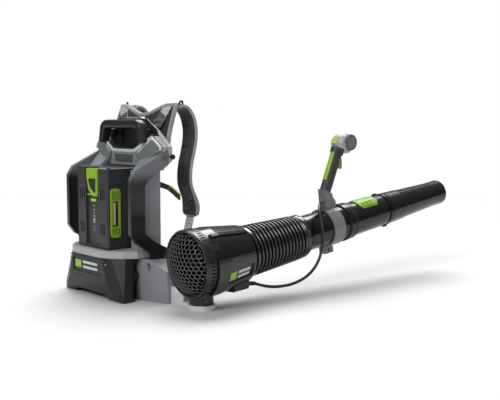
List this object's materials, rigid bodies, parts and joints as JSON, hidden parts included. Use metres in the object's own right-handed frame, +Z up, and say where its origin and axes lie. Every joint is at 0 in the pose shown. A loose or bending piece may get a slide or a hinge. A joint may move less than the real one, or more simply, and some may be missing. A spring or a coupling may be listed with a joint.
{
  "type": "backpack leaf blower",
  "caption": "Cordless backpack leaf blower with a removable battery, padded harness, in-line axial fan on a swivel arm, flexible hose and a straight tube with a control handle.",
  "frame": {"origin": "on the floor, on the pack's centre plane, on the underside of the front foot", "axes": "+Z up, +Y the way the wearer faces and the tube points, +X to the wearer's right"},
  "size_m": [0.5215, 0.9706, 0.464],
  "materials": {
    "charcoal_plastic": "fine texture",
    "black_plastic": "satin gloss",
    "dark_grey_plastic": "fine texture",
    "mid_grey_plastic": "satin",
    "light_grey_plastic": "satin",
    "lime_plastic": "satin",
    "window": "smoked",
    "hose_rubber": "matte",
    "pad_fabric": "woven mesh",
    "webbing": "woven ribbon",
    "bare_aluminium": "cast",
    "steel": "machined",
    "terminal_brass": "plated",
    "bush_plastic": "plain",
    "fan_plastic": "glass filled"
  },
  "bodies": {
    "pack": {"lower_housing": "dark_grey_plastic", "foot_pads": "hose_rubber", "battery_dock": "light_grey_plastic", "dock_terminals": "terminal_brass", "bay_wall": "charcoal_plastic", "side_walls": "mid_grey_plastic", "cowl": "mid_grey_plastic", "shoulder_panels": "mid_grey_plastic", "recess_liner": "charcoal_plastic", "carry_handle": "charcoal_plastic", "back_frame": "light_grey_plastic", "side_guard_right": "black_plastic", "side_guard_left": "black_plastic", "side_base": "light_grey_plastic", "swivel_arm": "light_grey_plastic", "swivel_bush": "bush_plastic", "controller_box": "bare_aluminium", "pack_screws": "steel", "strap_hook": "black_plastic", "back_pad": "pad_fabric", "shoulder_yoke": "pad_fabric", "shoulder_strap_right": "pad_fabric", "shoulder_strap_left": "pad_fabric", "strap_webbing": "webbing", "load_lifters": "webbing", "chest_strap": "webbing", "chest_buckle": "lime_plastic", "hip_belt": "pad_fabric"},
    "battery": {"battery_case": "charcoal_plastic", "battery_cells": "bare_aluminium", "gauge_frame": "lime_plastic", "gauge_window": "window"},
    "latch": {"battery_latch": "lime_plastic"},
    "gauge_key": {"gauge_button": "lime_plastic"},
    "blower": {"fan_housing": "black_plastic", "intake_ring": "black_plastic", "intake_grille": "black_plastic", "swivel_post": "black_plastic", "motor_can": "bare_aluminium", "stator_vanes": "fan_plastic", "motor_bearings": "steel", "side_cheek": "black_plastic", "cable_boss": "black_plastic", "cable_relief": "hose_rubber", "bellows_hose": "hose_rubber"},
    "rotor": {"rotor_shaft": "steel", "impeller": "fan_plastic"},
    "tube": {"rear_tube": "black_plastic", "clamp_band": "bare_aluminium", "handle_base": "mid_grey_plastic", "grip_shells": "dark_grey_plastic", "grip_inlay": "lime_plastic", "handle_head": "light_grey_plastic", "front_tube": "black_plastic", "tube_panel": "lime_plastic", "control_cable": "hose_rubber"},
    "throttle": {"trigger": "lime_plastic"},
    "boost_key": {"boost_button": "lime_plastic"},
    "dial": {"speed_dial": "mid_grey_plastic"},
    "nozzle_tip": {"nozzle": "black_plastic"}
  },
  "joints": [
    {"name": "battery_slide", "type": "slide", "parent": "pack", "child": "battery", "axis": [0, 0, 1], "range_m": [0, 0.06]},
    {"name": "latch_hinge", "type": "hinge", "parent": "battery", "child": "latch", "pos_m": [0, -0.1095, 0.243], "axis": [1, 0, 0], "range_deg": [0, 20], "stiffness_Nm_per_rad": 0.3},
    {"name": "gauge_press", "type": "slide", "parent": "battery", "child": "gauge_key", "axis": [0, 1, 0], "range_m": [0, 0.0015], "stiffness_N_per_m": 600},
    {"name": "blower_swivel", "type": "hinge", "parent": "pack", "child": "blower", "pos_m": [0.29, -0.01, 0.0075], "axis": [0, 0, 1], "range_deg": [-25, 18]},
    {"name": "fan_spin", "type": "hinge", "parent": "blower", "child": "rotor", "pos_m": [0.29, 0.02665, 0.11118], "axis": [0, 0.9962, 0.0872], "continuous": true},
    {"name": "tube_pitch", "type": "hinge", "parent": "blower", "child": "tube", "pos_m": [0.29, 0.196, 0.126], "axis": [1, 0, 0], "range_deg": [-15, 20], "deforming": ["bellows_hose", "control_cable"]},
    {"name": "trigger_pull", "type": "hinge", "parent": "tube", "child": "throttle", "pos_m": [0.29, 0.42562, 0.32636], "axis": [-1, 0, 0], "range_deg": [0, 12], "stiffness_Nm_per_rad": 0.2},
    {"name": "boost_press", "type": "slide", "parent": "tube", "child": "boost_key", "axis": [0, 0.9205, -0.3907], "range_m": [0, 0.003], "stiffness_N_per_m": 500},
    {"name": "dial_turn", "type": "hinge", "parent": "tube", "child": "dial", "pos_m": [0.308, 0.45241, 0.36388], "axis": [1, 0, 0], "range_deg": [0, 270]},
    {"name": "nozzle_twist", "type": "hinge", "parent": "tube", "child": "nozzle_tip", "pos_m": [0.29, 0.60201, 0.18306], "axis": [0, 0.9903, 0.1392], "range_deg": [0, 30]}
  ]
}
